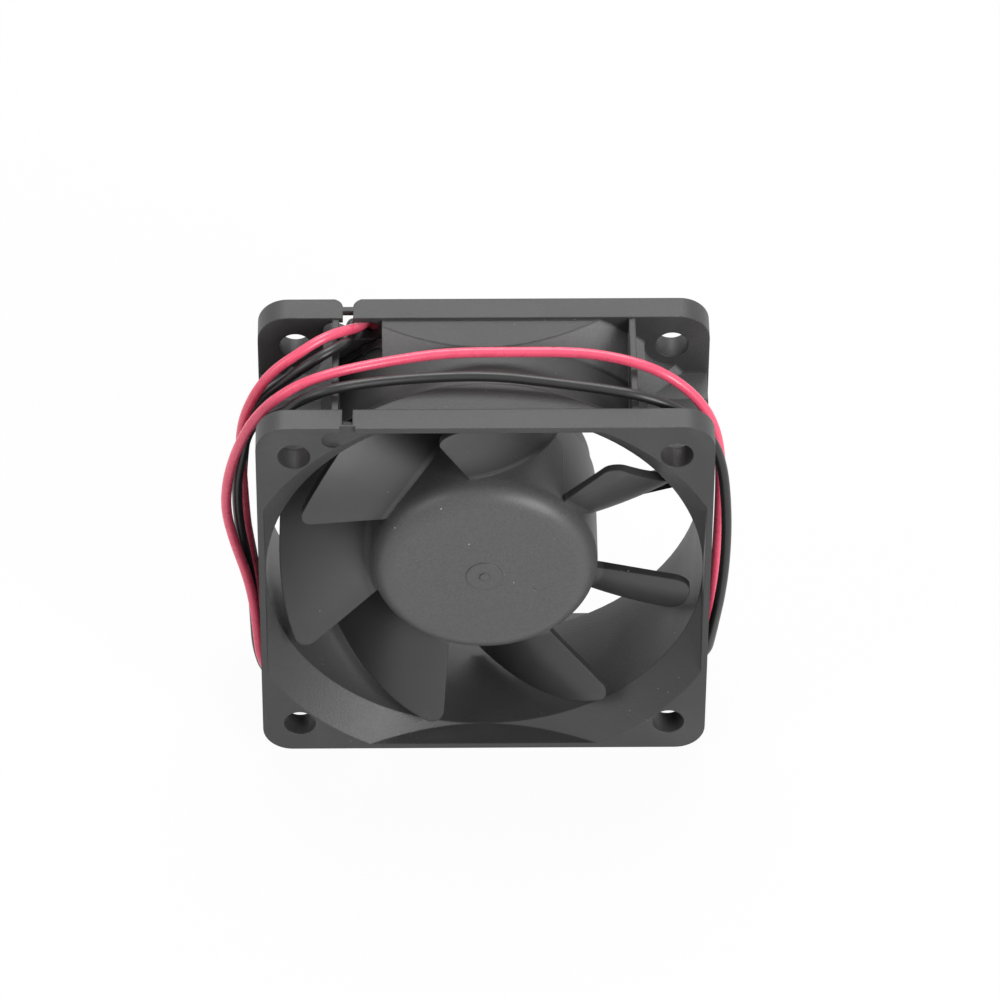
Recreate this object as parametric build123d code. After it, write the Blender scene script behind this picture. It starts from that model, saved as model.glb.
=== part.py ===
"""Small square axial cooling fan: one duct, seven blades, a brushless motor and two flying leads.

The fan stands on its lower edge. X runs to the right, Y from the intake side to the rear, Z up.
Every piece is drawn lying down first, with the air axis along Z and the intake face on top,
and is stood up when it is written. Depths are measured back from the intake face.
"""
from build123d import *
from math import atan, atan2, cos, degrees, hypot, pi, radians, sin, tan
import os

# Square frame
FRAME_SIDE = 60.0
FRAME_DEPTH = 25.0
FLANGE_THICKNESS = 3.7
FLANGE_CORNER_RADIUS = 4.0
MOUNT_PITCH = 50.0
MOUNT_HOLE_RADIUS = 2.15
SCREW_HEAD_CLEARANCE = 1.55
BORE_RADIUS = 28.1
DUCT_WALL = 1.35
FLARE_DEPTH = 4.9
FLARE_WIDENING = 4.9
FLARE_EDGE_WALL = 0.83
GUSSET_WIDENING = 3.85
GUSSET_LENGTH = 5.4
DUCT_FLAT_INSET = 0.4
RIB_OFFSET = 19.6
RIB_THICKNESS = 0.85
RIB_INSET = 0.25

# Lead slot and notch near the top left corner of both flanges
SLOT_LEFT_END = 21.35
SLOT_RIGHT_END = 13.6
SLOT_TOP_DISTANCE = 0.8
REAR_SLOT_WIDTH = 3.0
FRONT_RECESS_WIDTH = 2.6
NOTCH_OFFSET = 17.97
NOTCH_WIDTH = 1.35
NOTCH_MOUTH = 3.5
NOTCH_MOUTH_DEPTH = 1.5
NOTCH_WEB = 0.8
FRONT_RECESS_DEPTH = 0.5
FRONT_WEB = 0.35
FRONT_MOUTH = 2.0
RELIEF_RIGHT_EDGE = 13.5

# Motor base and its three leaning struts
BASE_RADIUS = 14.6
BASE_WALL = 1.1
BASE_FLOOR = 1.0
BASE_INSET = 0.4
BASE_RIM_DEPTH = 21.5
STRUT_COUNT = 3
STRUT_WIDTH = 1.5
STRUT_THICKNESS = 2.6
STRUT_OUTER_ANGLE = 121.3
STRUT_OUTER_RADIUS = 32.1
STRUT_LEAN = 23.6
CHANNEL_WALL = 0.7
CHANNEL_DEPTH = 1.6
CHANNEL_ENTRY = 4.0

# Impeller
HUB_RADIUS = 15.2
HUB_WALL = 1.45
HUB_FACE_DEPTH = 3.0
HUB_TOP = 1.6
HUB_FILLET = 3.3
HUB_RIM_DEPTH = 20.9
GATE_RING_RADIUS = 2.45
GATE_RING_HEIGHT = 0.12
GATE_PIP_RADIUS = 0.65
GATE_PIP_HEIGHT = 0.18
BLADE_COUNT = 7
BLADE_THICKNESS = 1.3
BLADE_EDGE_THICKNESS = 0.7
TIP_CLEARANCE = 0.65
TIP_CORNER_RADIUS = 1.8
TIP_ANGLE = 104.0
TIP_LEADING_DEPTH = 1.7
TIP_LEADING_PITCH = 13.0
TIP_TRAILING_PITCH = 55.0
TIP_SWEEP = 40.0
ROOT_LAG = 6.4
ROOT_LEADING_DEPTH = 6.6
ROOT_LEADING_PITCH = 4.0
ROOT_TRAILING_PITCH = 61.0
ROOT_SWEEP = 46.0
BLADE_TRAILING_DEPTH = 18.1
SECTION_COUNT = 4
SECTION_STEPS = 12
SECTION_REACH = 33.0

# Rotor
PRESS_GAP = 0.02
YOKE_WALL = 0.75
YOKE_RIM_DEPTH = 20.2
YOKE_CORNER = 1.2
MAGNET_WALL = 1.5
MAGNET_FRONT_DEPTH = 8.2
MAGNET_REAR_DEPTH = 19.4
GLUE_GAP = 0.05
SHAFT_RADIUS = 1.5
SHAFT_REAR_DEPTH = 22.9
SHAFT_CHAMFER = 0.3
BUSHING_RADIUS = 2.6
BUSHING_LENGTH = 3.6
HUB_BOSS_WALL = 1.2
GROOVE_DEPTH = 0.35
CLIP_THICKNESS = 0.4
CLIP_RADIUS = 2.7
CLIP_MOUTH = 2.0
WASHER_THICKNESS = 0.3
WASHER_RADIUS = 2.5

# Bearings
BEARING_RADIUS = 4.0
BEARING_WIDTH = 4.0
BEARING_RING_WALL = 0.62
BALL_RADIUS = 0.6
BALL_COUNT = 8
RACE_CLEARANCE = 0.03
SHIELD_THICKNESS = 0.2
SHIELD_INSET = 0.15
SHIELD_GAP = 0.12
RUNNING_CLEARANCE = 0.02
FRONT_BEARING_DEPTH = 9.6
REAR_BEARING_DEPTH = 17.8
TUBE_WALL = 0.8
TUBE_SHOULDER = 0.6
TUBE_SHOULDER_LENGTH = 1.2
SPRING_WIRE = 0.35
SPRING_TURNS = 2.5
CAP_RADIUS = 3.6

# Stator
AIR_GAP = 0.35
CORE_FRONT_DEPTH = 11.4
CORE_HEIGHT = 5.6
POLE_COUNT = 4
POLE_WIDTH = 3.2
POLE_SHOE_THICKNESS = 1.3
POLE_SHOE_GAP = 1.4
CORE_HUB_WALL = 1.5
INSULATOR_THICKNESS = 0.7
INSULATOR_LIP = 2.0
INSULATOR_INSET = 0.3
COIL_WIDTH = 1.7
COIL_HEIGHT = 1.3
COIL_CLEARANCE = 0.1
COIL_CORNER = 1.0

# Circuit board
BOARD_THICKNESS = 0.8
BOARD_DEPTH = 21.2
BOARD_CLEARANCE = 0.25
SENSOR_SIZE = (3.0, 1.6, 0.9)
SENSOR_ANGLE = 0.0
DRIVER_SIZE = (4.0, 3.4, 1.0)
DRIVER_ANGLE = 225.0
CAPACITOR_SIZE = (3.2, 1.8, 1.2)
CAPACITOR_ANGLE = 270.0
RESISTOR_SIZE = (2.0, 1.2, 0.5)
RESISTOR_ANGLES = (75.0, 165.0, 190.0)
PART_RING_RADIUS = 9.0
PIN_WIDTH = 0.5
PIN_ANGLES = (45.0, 135.0, 315.0)
SOLDER_RADIUS = 0.8
SOLDER_HEIGHT = 0.5
PAD_SOLDER_RADIUS = 1.0
PAD_SOLDER_HEIGHT = 1.3
PAD_CORE_LENGTH = 1.4

# Leads
LEAD_DIAMETER = 1.4
LEAD_BARE_DIAMETER = 0.6
LEAD_BARE_LENGTH = 5.0

# Sizes that follow from the ones above
HALF_SIDE = FRAME_SIDE / 2
HALF_DEPTH = FRAME_DEPTH / 2
TIP_RADIUS = BORE_RADIUS - TIP_CLEARANCE
DUCT_RADIUS = BORE_RADIUS + DUCT_WALL
BASE_REAR_DEPTH = FRAME_DEPTH - BASE_INSET
BASE_FLOOR_DEPTH = BASE_REAR_DEPTH - BASE_FLOOR
HUB_BORE = HUB_RADIUS - HUB_WALL
HUB_CEILING_DEPTH = HUB_FACE_DEPTH + HUB_TOP
BOSS_RADIUS = BUSHING_RADIUS + HUB_BOSS_WALL
YOKE_RADIUS = HUB_BORE - PRESS_GAP
MAGNET_RADIUS = YOKE_RADIUS - YOKE_WALL - GLUE_GAP
MAGNET_BORE = MAGNET_RADIUS - MAGNET_WALL
CORE_RADIUS = MAGNET_BORE - AIR_GAP
TUBE_RADIUS = BEARING_RADIUS + RUNNING_CLEARANCE + TUBE_WALL
TUBE_BORE = BEARING_RADIUS + RUNNING_CLEARANCE
CORE_BORE = TUBE_RADIUS + PRESS_GAP
CORE_REAR_DEPTH = CORE_FRONT_DEPTH + CORE_HEIGHT
PIN_RING_RADIUS = CORE_RADIUS - (POLE_SHOE_THICKNESS + INSULATOR_INSET) / 2
BUSHING_REAR_DEPTH = HUB_CEILING_DEPTH + BUSHING_LENGTH
CLIP_DEPTH = REAR_BEARING_DEPTH + BEARING_WIDTH + WASHER_THICKNESS
SLOT_TOP = HALF_SIDE - SLOT_TOP_DISTANCE
CAVITY_LENGTH = FRAME_DEPTH - 2 * FLANGE_THICKNESS


def level(depth):
    """Height in the lying-down drawing of a plane this far behind the intake face."""
    return HALF_DEPTH - depth


def polar(radius, angle, height=0.0):
    return Vector(radius * cos(radians(angle)), radius * sin(radians(angle)), height)


def ring(outer, inner, front, rear):
    """Plain ring about the air axis between two depths; inner 0 makes a disc."""
    section = Circle(outer)
    if inner > 0:
        section -= Circle(inner)
    return Pos(0, 0, level(rear)) * extrude(section, rear - front)


def turned(points):
    """Solid of revolution about the air axis from a closed outline of (radius, depth) corners."""
    corners = [(radius, level(depth)) for radius, depth in points]
    outline = Plane.XZ * make_face(Polyline(*corners, close=True))
    return revolve(outline, Axis.Z)


def slab(width, height, front, rear, x=0.0, y=0.0):
    return Pos(x, y, level((front + rear) / 2)) * Box(width, height, rear - front)


def turn(angle):
    return Rot(0, 0, angle)


def mount_points():
    return GridLocations(MOUNT_PITCH, MOUNT_PITCH, 2, 2)


def flange(front):
    plate = RectangleRounded(FRAME_SIDE, FRAME_SIDE, FLANGE_CORNER_RADIUS)
    plate -= mount_points() * Circle(MOUNT_HOLE_RADIUS)
    return Pos(0, 0, level(front + FLANGE_THICKNESS)) * extrude(plate, FLANGE_THICKNESS)


def duct_outside():
    """Barrel between the flanges: a straight tube that widens into a cone towards each flange."""
    front = FLANGE_THICKNESS
    rear = FRAME_DEPTH - FLANGE_THICKNESS
    wide = DUCT_RADIUS + GUSSET_WIDENING
    barrel = turned([
        (0, front),
        (wide, front),
        (DUCT_RADIUS, front + GUSSET_LENGTH),
        (DUCT_RADIUS, rear - GUSSET_LENGTH),
        (wide, rear),
        (0, rear),
    ])
    flats = FRAME_SIDE - 2 * DUCT_FLAT_INSET
    barrel &= slab(flats, flats, front, rear)
    clearance = Circle(MOUNT_HOLE_RADIUS + SCREW_HEAD_CLEARANCE)
    wells = extrude(Sketch() + mount_points() * clearance, CAVITY_LENGTH)
    return barrel - Pos(0, 0, level(rear)) * wells


def ribs():
    """Eight thin fins that stiffen the flanges, two on each side of the barrel."""
    outer = HALF_SIDE - RIB_INSET
    inner = DUCT_RADIUS * 0.7
    front = FLANGE_THICKNESS
    rear = FRAME_DEPTH - FLANGE_THICKNESS
    fins = []
    for side in range(4):
        for offset in (-RIB_OFFSET, RIB_OFFSET):
            fin = slab(RIB_THICKNESS, outer - inner, front, rear, offset, (outer + inner) / 2)
            fins.append(turn(90 * side) * fin)
    return fins


def flare(face, inward):
    """Mouth of the duct: a cone from the bore out to the face, cut flat where it meets the sides."""
    inner = face + inward * FLARE_DEPTH
    beyond = face - inward
    steep = FLARE_WIDENING / FLARE_DEPTH
    cone = turned([
        (0, inner),
        (BORE_RADIUS, inner),
        (BORE_RADIUS + FLARE_WIDENING + steep, beyond),
        (0, beyond),
    ])
    flats = FRAME_SIDE - 2 * FLARE_EDGE_WALL
    return cone & slab(flats, flats, min(inner, beyond) - 1, max(inner, beyond) + 1)


def slot_outline(width):
    """Long slot with round ends beside the flare, where the leads pass."""
    length = SLOT_LEFT_END - SLOT_RIGHT_END
    centre = -(SLOT_LEFT_END + SLOT_RIGHT_END) / 2
    return Pos(centre, SLOT_TOP - width / 2) * SlotOverall(length, width)


def notch_mouth(bottom):
    """Funnel at the rear face, with rounded sides, through which the leads were pressed in."""
    face = level(FRAME_DEPTH)
    neck = level(FRAME_DEPTH - NOTCH_MOUTH_DEPTH)
    wide, narrow = NOTCH_MOUTH / 2, NOTCH_WIDTH / 2
    belly_x = narrow + 0.3 * (wide - narrow)
    belly_z = face + 0.4 * NOTCH_MOUTH_DEPTH
    outline = make_face([
        Line((-wide, face), (wide, face)),
        ThreePointArc((wide, face), (belly_x, belly_z), (narrow, neck)),
        Line((narrow, neck), (-narrow, neck)),
        ThreePointArc((-narrow, neck), (-belly_x, belly_z), (-wide, face)),
    ])
    return Pos(-NOTCH_OFFSET, HALF_SIDE, 0) * extrude(Plane.XZ * outline, HALF_SIDE - bottom)


def lead_openings():
    """What is cut from the flanges for the leads: slot, notches and their wider mouths."""
    rear_inner = FRAME_DEPTH - FLANGE_THICKNESS
    rear_slot = extrude(slot_outline(REAR_SLOT_WIDTH), FLANGE_THICKNESS)
    recess = extrude(slot_outline(FRONT_RECESS_WIDTH), FRONT_RECESS_DEPTH)
    deep = SLOT_TOP - FRONT_RECESS_WIDTH / 2
    tall = HALF_SIDE - deep
    middle = deep + tall / 2
    web_front = FRAME_DEPTH - NOTCH_MOUTH_DEPTH - NOTCH_WEB
    front_web = FRONT_RECESS_DEPTH + FRONT_WEB
    return [
        Pos(0, 0, level(FRAME_DEPTH)) * rear_slot,
        Pos(0, 0, level(FRONT_RECESS_DEPTH)) * recess,
        slab(NOTCH_WIDTH, tall, rear_inner, web_front, -NOTCH_OFFSET, middle),
        notch_mouth(deep),
        slab(NOTCH_WIDTH, tall, front_web, FLANGE_THICKNESS, -NOTCH_OFFSET, middle),
        slab(FRONT_MOUTH, tall, 0, FRONT_RECESS_DEPTH, -NOTCH_OFFSET, middle),
    ]


def lead_relief():
    """Part of the rear cone that is left out between the slot's rib and its right end."""
    left = RIB_OFFSET - RIB_THICKNESS / 2
    width = left - RELIEF_RIGHT_EDGE
    centre = -(left + RELIEF_RIGHT_EDGE) / 2
    rear = FRAME_DEPTH - FLANGE_THICKNESS
    pocket = slab(width, HALF_SIDE, rear - GUSSET_LENGTH, rear, centre, HALF_SIDE / 2)
    return pocket - ring(DUCT_RADIUS, 0, rear - GUSSET_LENGTH, rear)


def strut_line(index):
    """Inner and outer end of a strut's centre line."""
    outer_angle = STRUT_OUTER_ANGLE + 360 / STRUT_COUNT * index
    inner = polar(BASE_RADIUS - BASE_WALL / 2, outer_angle - STRUT_LEAN)
    outer = polar(STRUT_OUTER_RADIUS, outer_angle)
    return inner, outer


def bar_along(line, width, front, rear, before=0.0):
    """Straight bar along a line in the drawing plane, made longer at its start by the last value."""
    start, end = line
    run = end - start
    start = start - run.normalized() * before
    middle = (start + end) * 0.5
    angle = degrees(atan2(run.Y, run.X))
    bar = Box(run.length + before, width, rear - front)
    return Pos(middle.X, middle.Y, level((front + rear) / 2)) * turn(angle) * bar


def motor_base():
    """Shallow cup that carries the motor, open to the intake side."""
    cup = ring(BASE_RADIUS, 0, BASE_RIM_DEPTH, BASE_REAR_DEPTH)
    cup -= ring(BASE_RADIUS - BASE_WALL, 0, BASE_RIM_DEPTH, BASE_FLOOR_DEPTH)
    return cup


def lead_channel_width():
    return 2 * LEAD_DIAMETER + 0.2


def make_frame():
    housing = flange(0) + flange(FRAME_DEPTH - FLANGE_THICKNESS) + duct_outside()
    housing += ribs()
    housing -= lead_relief()
    housing -= ring(BORE_RADIUS, 0, 0, FRAME_DEPTH)
    housing -= flare(0, 1)
    housing -= flare(FRAME_DEPTH, -1)
    front = BASE_REAR_DEPTH - STRUT_THICKNESS
    inside = FRAME_SIDE - FLARE_EDGE_WALL
    struts = []
    for index in range(STRUT_COUNT):
        width = STRUT_WIDTH if index else lead_channel_width() + 2 * CHANNEL_WALL
        bar = bar_along(strut_line(index), width, front, BASE_REAR_DEPTH)
        struts.append(bar & slab(inside, inside, front, BASE_REAR_DEPTH))
    housing += struts
    housing += motor_base()
    for opening in lead_openings():
        housing -= opening
    channel_front = BASE_REAR_DEPTH - CHANNEL_DEPTH
    housing -= bar_along(
        strut_line(0), lead_channel_width(), channel_front, BASE_REAR_DEPTH, CHANNEL_ENTRY
    )
    housing -= ring(CAP_RADIUS, 0, BASE_FLOOR_DEPTH, BASE_REAR_DEPTH)
    return housing


def between(root, tip, radius):
    """Value that runs evenly from the hub surface to the blade tip."""
    share = (radius - HUB_RADIUS) / (TIP_RADIUS - HUB_RADIUS)
    return root + (tip - root) * share


def blade_depth(radius, angle):
    """Depth of the blade's middle surface: its pitch steepens evenly from leading to trailing edge."""
    leading = between(-ROOT_LAG, 0, radius)
    run = radius * radians(leading - angle)
    length = between(HUB_RADIUS * radians(ROOT_SWEEP), TIP_RADIUS * radians(TIP_SWEEP), radius)
    first = tan(radians(between(ROOT_LEADING_PITCH, TIP_LEADING_PITCH, radius)))
    last = tan(radians(between(ROOT_TRAILING_PITCH, TIP_TRAILING_PITCH, radius)))
    start = between(ROOT_LEADING_DEPTH, TIP_LEADING_DEPTH, radius)
    return start + run * first + run * run * (last - first) / (2 * length)


def blade_section(distance, middle_angle):
    """Cut through one blade, square to its own radial line and this far from the air axis."""
    plane = Plane(origin=polar(distance, 0), x_dir=(0, 1, 0), z_dir=(1, 0, 0))
    upper, lower = [], []
    for step in range(SECTION_STEPS + 1):
        offset = SECTION_REACH - 2 * SECTION_REACH * step / SECTION_STEPS
        across = distance * tan(radians(offset))
        height = level(blade_depth(hypot(distance, across), middle_angle + offset))
        nearby = distance * tan(radians(offset - 0.5))
        other = level(blade_depth(hypot(distance, nearby), middle_angle + offset - 0.5))
        slope = atan2(other - height, nearby - across)
        leading = min(1.0, 4 * step / SECTION_STEPS)
        trailing = min(1.0, 4 * (SECTION_STEPS - step) / SECTION_STEPS)
        fullness = min(leading, trailing)
        half = (BLADE_EDGE_THICKNESS + (BLADE_THICKNESS - BLADE_EDGE_THICKNESS) * fullness) / 2
        upper.append((across - half * sin(slope), height + half * cos(slope)))
        lower.append((across + half * sin(slope), height - half * cos(slope)))
    outline = [
        Spline(*upper),
        Line(upper[-1], lower[-1]),
        Spline(*reversed(lower)),
        Line(lower[0], upper[0]),
    ]
    return plane * make_face(outline)


def blade_plan():
    """Front view of a blade, to cut it from the sheet: it runs past the trailing edge at the rear."""
    root, tip = polar(HUB_RADIUS, -ROOT_LAG), polar(TIP_RADIUS, 0)
    inner = root + (root - tip).normalized() * HUB_WALL / 2
    beyond = -ROOT_LAG - ROOT_SWEEP - 1
    inner_end = polar(inner.length, beyond)
    outer_end = polar(TIP_RADIUS, beyond)
    outline = make_face([
        Line(inner, tip),
        ThreePointArc(tip, polar(TIP_RADIUS, beyond / 2), outer_end),
        Line(outer_end, inner_end),
        ThreePointArc(inner_end, polar(inner.length, beyond / 2), inner),
    ])
    corner = outline.vertices().sort_by_distance(tip)[0]
    return fillet(corner, TIP_CORNER_RADIUS)


def make_blade():
    """One twisted blade: lofted through curved sections, then cut to its outline."""
    middle_angle = -(TIP_SWEEP + ROOT_LAG + ROOT_SWEEP) / 4
    first = HUB_RADIUS * cos(radians(SECTION_REACH)) - HUB_WALL
    last = TIP_RADIUS + TIP_CLEARANCE
    sections = []
    for index in range(SECTION_COUNT):
        distance = first + (last - first) * index / (SECTION_COUNT - 1)
        sections.append(blade_section(distance, middle_angle))
    sheet = turn(middle_angle) * loft(sections)
    outline = Pos(0, 0, level(BLADE_TRAILING_DEPTH)) * extrude(blade_plan(), FRAME_DEPTH)
    return turn(TIP_ANGLE) * (sheet & outline)


def make_impeller():
    shell = turned([
        (0, HUB_FACE_DEPTH),
        (HUB_RADIUS, HUB_FACE_DEPTH),
        (HUB_RADIUS, HUB_RIM_DEPTH),
        (0, HUB_RIM_DEPTH),
    ])
    face_edge = shell.edges().filter_by(GeomType.CIRCLE).sort_by(Axis.Z)[-1]
    shell = fillet(face_edge, HUB_FILLET)
    shell -= ring(HUB_BORE, 0, HUB_CEILING_DEPTH, HUB_RIM_DEPTH)
    shell += ring(BOSS_RADIUS, 0, HUB_CEILING_DEPTH, BUSHING_REAR_DEPTH)
    shell -= ring(BUSHING_RADIUS, 0, HUB_CEILING_DEPTH, BUSHING_REAR_DEPTH)
    shell += ring(GATE_RING_RADIUS, 0, HUB_FACE_DEPTH - GATE_RING_HEIGHT, HUB_FACE_DEPTH)
    pip_front = HUB_FACE_DEPTH - GATE_RING_HEIGHT - GATE_PIP_HEIGHT
    shell += ring(GATE_PIP_RADIUS, 0, pip_front, HUB_FACE_DEPTH)
    blade = make_blade()
    for index in range(BLADE_COUNT):
        shell += turn(-360 / BLADE_COUNT * index) * blade
    return shell


def make_yoke():
    yoke = ring(YOKE_RADIUS, 0, HUB_CEILING_DEPTH, YOKE_RIM_DEPTH)
    yoke -= ring(YOKE_RADIUS - YOKE_WALL, 0, HUB_CEILING_DEPTH + YOKE_WALL, YOKE_RIM_DEPTH)
    yoke -= ring(BOSS_RADIUS + GLUE_GAP, 0, HUB_CEILING_DEPTH, YOKE_RIM_DEPTH)
    return yoke


def make_shaft():
    groove = CLIP_DEPTH
    chamfer_radius = SHAFT_RADIUS - SHAFT_CHAMFER
    groove_radius = SHAFT_RADIUS - GROOVE_DEPTH
    return turned([
        (0, HUB_CEILING_DEPTH),
        (SHAFT_RADIUS, HUB_CEILING_DEPTH),
        (SHAFT_RADIUS, groove),
        (groove_radius, groove),
        (groove_radius, groove + CLIP_THICKNESS),
        (SHAFT_RADIUS, groove + CLIP_THICKNESS),
        (SHAFT_RADIUS, SHAFT_REAR_DEPTH - SHAFT_CHAMFER),
        (chamfer_radius, SHAFT_REAR_DEPTH),
        (0, SHAFT_REAR_DEPTH),
    ])


def make_clip():
    """Slotted spring washer that holds the shaft in the rear bearing."""
    clip = ring(CLIP_RADIUS, SHAFT_RADIUS - GROOVE_DEPTH, CLIP_DEPTH, CLIP_DEPTH + CLIP_THICKNESS)
    mouth = slab(CLIP_RADIUS, CLIP_MOUTH, CLIP_DEPTH, CLIP_DEPTH + CLIP_THICKNESS, CLIP_RADIUS / 2)
    return clip - mouth


def make_bearing_tube():
    tube = ring(TUBE_RADIUS, TUBE_BORE, FRONT_BEARING_DEPTH - 0.3, BASE_FLOOR_DEPTH)
    shoulder_front = FRONT_BEARING_DEPTH + BEARING_WIDTH
    shoulder_rear = REAR_BEARING_DEPTH
    tube += ring(TUBE_BORE, TUBE_BORE - TUBE_SHOULDER, shoulder_front, shoulder_rear)
    return tube


def ball_ring_radius():
    outer = BEARING_RADIUS - BEARING_RING_WALL
    inner = SHAFT_RADIUS + RUNNING_CLEARANCE + BEARING_RING_WALL
    return (outer + inner) / 2


def bearing_rings(front):
    """Outer ring and inner ring, each with a round groove for the balls."""
    rear = front + BEARING_WIDTH
    middle = level((front + rear) / 2)
    groove = Pos(0, 0, middle) * Torus(ball_ring_radius(), BALL_RADIUS + RACE_CLEARANCE)
    outer = ring(BEARING_RADIUS, BEARING_RADIUS - BEARING_RING_WALL, front, rear) - groove
    bore = SHAFT_RADIUS + RUNNING_CLEARANCE
    inner = ring(bore + BEARING_RING_WALL, bore, front, rear) - groove
    return outer, inner


def bearing_balls(front):
    middle = level(front + BEARING_WIDTH / 2)
    ball = Sphere(BALL_RADIUS)
    return Compound([
        Pos(*polar(ball_ring_radius(), 360 / BALL_COUNT * index, middle)) * ball
        for index in range(BALL_COUNT)
    ])


def bearing_shields(front):
    rear = front + BEARING_WIDTH
    outer = BEARING_RADIUS - BEARING_RING_WALL
    inner = SHAFT_RADIUS + RUNNING_CLEARANCE + BEARING_RING_WALL + SHIELD_GAP
    near = ring(outer, inner, front + SHIELD_INSET, front + SHIELD_INSET + SHIELD_THICKNESS)
    far = ring(outer, inner, rear - SHIELD_INSET - SHIELD_THICKNESS, rear - SHIELD_INSET)
    return Compound([near, far])


def pole_outline(pole_width, shoe_thickness, outer, hub):
    """Cross of four poles, each ending in a curved shoe that faces the magnet."""
    outline = Circle(hub)
    spokes = []
    for index in range(POLE_COUNT):
        spoke = Pos(outer / 2, 0) * Rectangle(outer, pole_width)
        spokes.append(turn(360 / POLE_COUNT * index + 45) * spoke)
    outline += spokes
    shoes = Circle(outer) - Circle(outer - shoe_thickness)
    gaps = []
    for index in range(POLE_COUNT):
        gap = Pos(outer, 0) * Rectangle(2 * outer, POLE_SHOE_GAP)
        gaps.append(turn(360 / POLE_COUNT * index) * gap)
    shoes -= gaps
    outline += shoes
    outline &= Circle(outer)
    return outline


def make_core():
    outline = pole_outline(POLE_WIDTH, POLE_SHOE_THICKNESS, CORE_RADIUS, CORE_BORE + CORE_HUB_WALL)
    outline -= Circle(CORE_BORE)
    return Pos(0, 0, level(CORE_REAR_DEPTH)) * extrude(outline, CORE_HEIGHT)


def make_insulator(front, rear, lip_front, lip_rear):
    """Plastic cap on one end of the core, with lips that keep the windings in."""
    outer = CORE_RADIUS - INSULATOR_INSET
    thickness = POLE_SHOE_THICKNESS - INSULATOR_INSET
    hub = CORE_BORE + CORE_HUB_WALL
    outline = pole_outline(POLE_WIDTH, thickness, outer, hub) - Circle(CORE_BORE)
    cap = Pos(0, 0, level(rear)) * extrude(outline, rear - front)
    lips = Circle(hub) - Circle(CORE_BORE)
    shoes = Circle(outer) - Circle(outer - thickness)
    gaps = []
    for index in range(POLE_COUNT):
        gap = Pos(outer, 0) * Rectangle(2 * outer, 3 * POLE_SHOE_GAP)
        gaps.append(turn(360 / POLE_COUNT * index) * gap)
    lips += shoes - gaps
    cap += Pos(0, 0, level(lip_rear)) * extrude(lips, lip_rear - lip_front)
    return cap


def make_coil(index):
    """Copper winding about one pole: a rectangular ring that fits between the lips."""
    inner = CORE_BORE + CORE_HUB_WALL + COIL_CLEARANCE
    outer = CORE_RADIUS - POLE_SHOE_THICKNESS - COIL_CLEARANCE
    hole_width = POLE_WIDTH + 2 * COIL_CLEARANCE
    hole_height = CORE_HEIGHT + 2 * (INSULATOR_THICKNESS + COIL_CLEARANCE)
    window = Rectangle(hole_width, hole_height)
    body = RectangleRounded(hole_width + 2 * COIL_WIDTH, hole_height + 2 * COIL_HEIGHT, COIL_CORNER)
    middle = level(CORE_FRONT_DEPTH + CORE_HEIGHT / 2)
    plane = Plane(origin=(inner, 0, middle), x_dir=(0, 1, 0), z_dir=(1, 0, 0))
    winding = extrude(plane * (body - window), outer - inner)
    room = ring(outer + COIL_CLEARANCE / 2, 0, 0, FRAME_DEPTH)
    winding &= room
    return turn(360 / POLE_COUNT * index + 45) * winding


def make_board():
    outer = BASE_RADIUS - BASE_WALL - BOARD_CLEARANCE
    board = ring(outer, TUBE_RADIUS + BOARD_CLEARANCE, BOARD_DEPTH, BOARD_DEPTH + BOARD_THICKNESS)
    return board - board_pin_holes()


def board_pin_holes():
    holes = []
    for angle in PIN_ANGLES:
        point = polar(PIN_RING_RADIUS, angle)
        hole = slab(
            PIN_WIDTH + 0.1, PIN_WIDTH + 0.1, BOARD_DEPTH, BOARD_DEPTH + BOARD_THICKNESS,
            point.X, point.Y,
        )
        holes.append(hole)
    return holes


def board_component(size, angle, radius=PART_RING_RADIUS):
    """Small part that sits on the intake side of the circuit board."""
    length, width, height = size
    body = Pos(radius, 0, level(BOARD_DEPTH - height / 2)) * Box(width, length, height)
    return turn(angle) * body


def make_pins():
    front = CORE_REAR_DEPTH + INSULATOR_LIP
    rear = BOARD_DEPTH + BOARD_THICKNESS + SOLDER_HEIGHT
    pins = []
    for angle in PIN_ANGLES:
        point = polar(PIN_RING_RADIUS, angle)
        pins.append(slab(PIN_WIDTH, PIN_WIDTH, front, rear, point.X, point.Y))
    return Compound(pins)


def make_solder():
    """Cones of solder round the pins, widest where they lie on the board."""
    front = BOARD_DEPTH + BOARD_THICKNESS
    joints = []
    for angle in PIN_ANGLES:
        point = polar(PIN_RING_RADIUS, angle, level(front + SOLDER_HEIGHT / 2))
        cone = Pos(*point) * Cone(PIN_WIDTH * 0.9, SOLDER_RADIUS, SOLDER_HEIGHT)
        cone -= slab(PIN_WIDTH, PIN_WIDTH, front, front + SOLDER_HEIGHT, point.X, point.Y)
        joints.append(cone)
    return Compound(joints)


def make_spring():
    """Short coil spring that keeps the bearings preloaded."""
    front = BUSHING_REAR_DEPTH
    rear = FRONT_BEARING_DEPTH
    height = rear - front - SPRING_WIRE - 0.04
    radius = SHAFT_RADIUS + RUNNING_CLEARANCE + BEARING_RING_WALL / 2 + 0.05
    path = Helix(height / SPRING_TURNS, height, radius)
    start = path @ 0
    section = Plane(origin=start, z_dir=path % 0) * Circle(SPRING_WIRE / 2)
    coil = sweep(section, path)
    return Pos(0, 0, level(rear) + SPRING_WIRE / 2 + 0.02) * coil


def stand_up(shape):
    return Pos(0, 0, HALF_SIDE) * Rot(90, 0, 0) * shape


def lead_route(points):
    """Centre line of a lead: straight runs joined by the largest arcs that the runs allow."""
    corners = [Vector(*point) for point in points]
    radii = []
    for before, corner, after in zip(corners, corners[1:], corners[2:]):
        first, second = corner - before, after - corner
        half_turn = radians(first.get_angle(second) / 2)
        radii.append(0.45 * min(first.length, second.length) / tan(half_turn))
    return FilletPolyline(*corners, radius=radii), radii


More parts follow.
